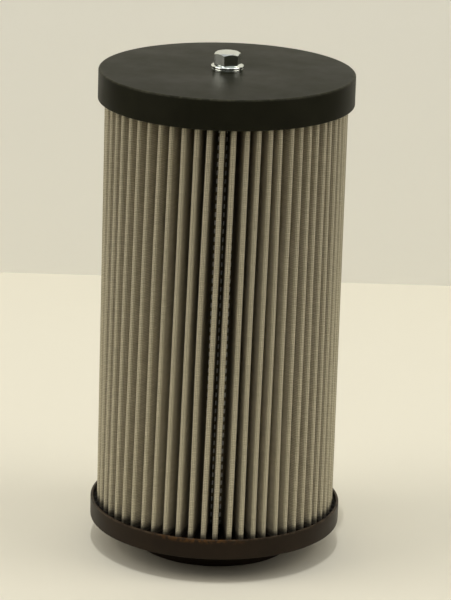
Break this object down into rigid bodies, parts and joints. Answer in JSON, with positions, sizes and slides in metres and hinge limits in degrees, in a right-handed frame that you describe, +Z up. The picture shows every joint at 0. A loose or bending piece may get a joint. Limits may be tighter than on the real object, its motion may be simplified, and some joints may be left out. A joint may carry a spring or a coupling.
{
  "type": "hydraulic filter element",
  "caption": "Pleated wire-mesh hydraulic filter element with dark end caps, an open neck below and a flange bolt on top.",
  "frame": {"origin": "centre of the connection neck's open end, on the plane the element stands on", "axes": "+Z up along the element's axis, from the neck to the bolt; -Y is the front"},
  "size_m": [0.136, 0.136, 0.2737],
  "materials": {
    "top_cap_paint": "satin",
    "bottom_cap_paint": "satin",
    "woven_mesh": "woven wire",
    "core_steel": "galvanised",
    "adhesive": "cast",
    "seal_rubber": "matt",
    "bright_zinc": "bright zinc plate"
  },
  "bodies": {
    "root": {"top_end_cap": "top_cap_paint", "bottom_end_cap": "bottom_cap_paint", "neck_seal": "seal_rubber", "pleat_pack": "woven_mesh", "core_tube": "core_steel", "bottom_potting": "adhesive", "top_potting": "adhesive", "flange_bolt": "bright_zinc", "flat_washer": "bright_zinc", "inner_washer": "bright_zinc", "hex_nut": "bright_zinc"}
  },
  "joints": []
}
